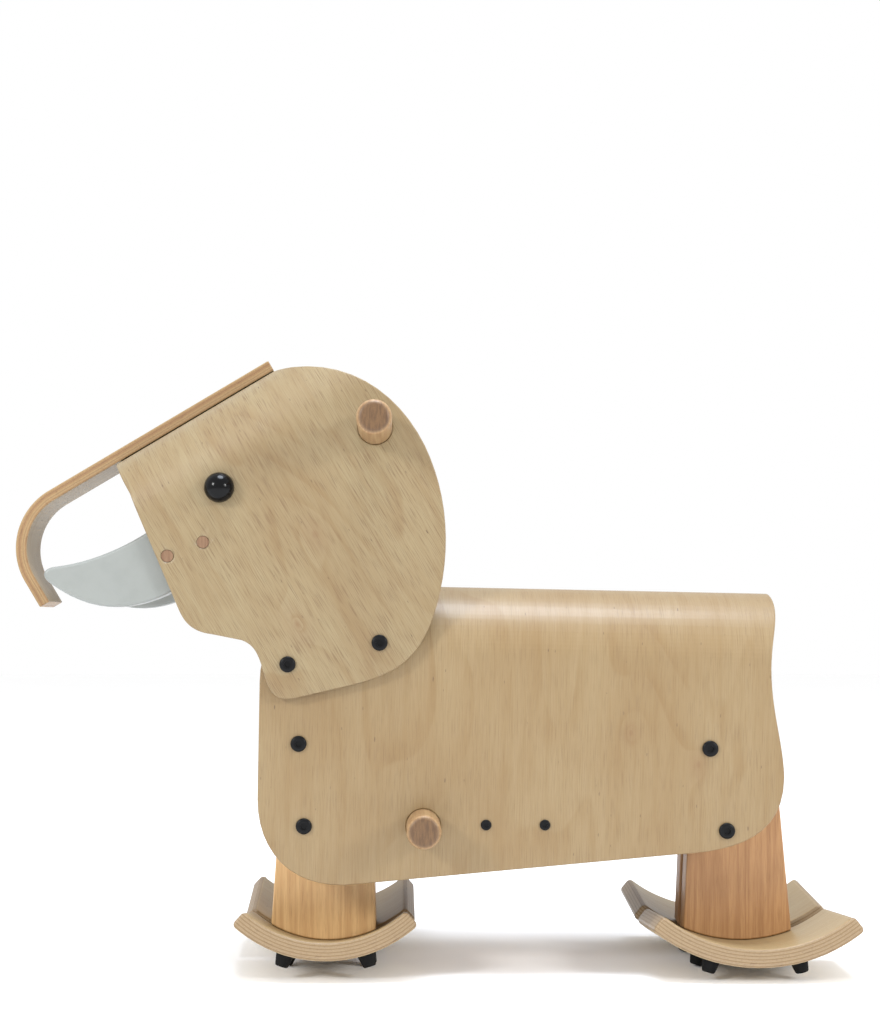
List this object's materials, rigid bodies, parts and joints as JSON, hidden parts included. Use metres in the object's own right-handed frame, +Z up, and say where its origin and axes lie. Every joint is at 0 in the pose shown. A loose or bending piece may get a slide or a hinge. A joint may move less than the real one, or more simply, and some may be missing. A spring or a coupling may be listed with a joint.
{
  "type": "ride-on rocking animal toy",
  "caption": "Elephant ride-on rocker in moulded plywood: saddle body and head shells, bent trunk, tusks, hand and foot bars, curved feet on rubber buffers.",
  "frame": {"origin": "on the floor, at the centre of the object's bounding box seen from above", "axes": "+X towards the tail, -X towards the head, -Y the animal's left side, +Z up"},
  "size_m": [0.7056, 0.338, 0.5167],
  "materials": {
    "birch_ply": "clear satin lacquer",
    "trunk_ply": "clear satin lacquer",
    "leg_wood": "satin oil",
    "dowel_wood": "clear satin lacquer",
    "plug_wood": "clear satin lacquer",
    "foot_ply": "clear satin lacquer",
    "tusk_lacquer": "satin",
    "black_strip": "matte",
    "eye_black": "gloss",
    "black_steel": "satin black",
    "rubber_black": "matte"
  },
  "bodies": {
    "root": {"body_shell": "birch_ply", "head_shell": "birch_ply", "trunk": "trunk_ply", "trunk_spacer": "black_strip", "tusk_left": "tusk_lacquer", "tusk_right": "tusk_lacquer", "handle_bar": "dowel_wood", "footrest_bar": "dowel_wood", "eye_left": "eye_black", "wood_plug_front_left": "plug_wood", "wood_plug_rear_left": "plug_wood", "leg_front_left": "leg_wood", "leg_block_front_left": "leg_wood", "foot_front_left": "foot_ply", "bumper_front_left_inner_toe": "rubber_black", "bumper_front_left_inner_heel": "rubber_black", "bumper_front_left_outer_toe": "rubber_black", "bumper_front_left_outer_heel": "rubber_black", "leg_rear_left": "leg_wood", "leg_block_rear_left": "leg_wood", "foot_rear_left": "foot_ply", "bumper_rear_left_inner_toe": "rubber_black", "bumper_rear_left_inner_heel": "rubber_black", "bumper_rear_left_outer_toe": "rubber_black", "bumper_rear_left_outer_heel": "rubber_black", "head_bolt_front_left": "black_steel", "rail_screw_front_left": "black_steel", "head_bolt_rear_left": "black_steel", "rail_screw_rear_left": "black_steel", "body_bolt_front_upper_left": "black_steel", "body_bolt_front_lower_left": "black_steel", "body_bolt_rear_upper_left": "black_steel", "body_bolt_rear_lower_left": "black_steel", "eye_right": "eye_black", "wood_plug_front_right": "plug_wood", "wood_plug_rear_right": "plug_wood", "leg_front_right": "leg_wood", "leg_block_front_right": "leg_wood", "foot_front_right": "foot_ply", "bumper_front_right_inner_toe": "rubber_black", "bumper_front_right_inner_heel": "rubber_black", "bumper_front_right_outer_toe": "rubber_black", "bumper_front_right_outer_heel": "rubber_black", "leg_rear_right": "leg_wood", "leg_block_rear_right": "leg_wood", "foot_rear_right": "foot_ply", "bumper_rear_right_inner_toe": "rubber_black", "bumper_rear_right_inner_heel": "rubber_black", "bumper_rear_right_outer_toe": "rubber_black", "bumper_rear_right_outer_heel": "rubber_black", "head_bolt_front_right": "black_steel", "rail_screw_front_right": "black_steel", "head_bolt_rear_right": "black_steel", "rail_screw_rear_right": "black_steel", "body_bolt_front_upper_right": "black_steel", "body_bolt_front_lower_right": "black_steel", "body_bolt_rear_upper_right": "black_steel", "body_bolt_rear_lower_right": "black_steel", "cross_rail": "leg_wood"}
  },
  "joints": []
}
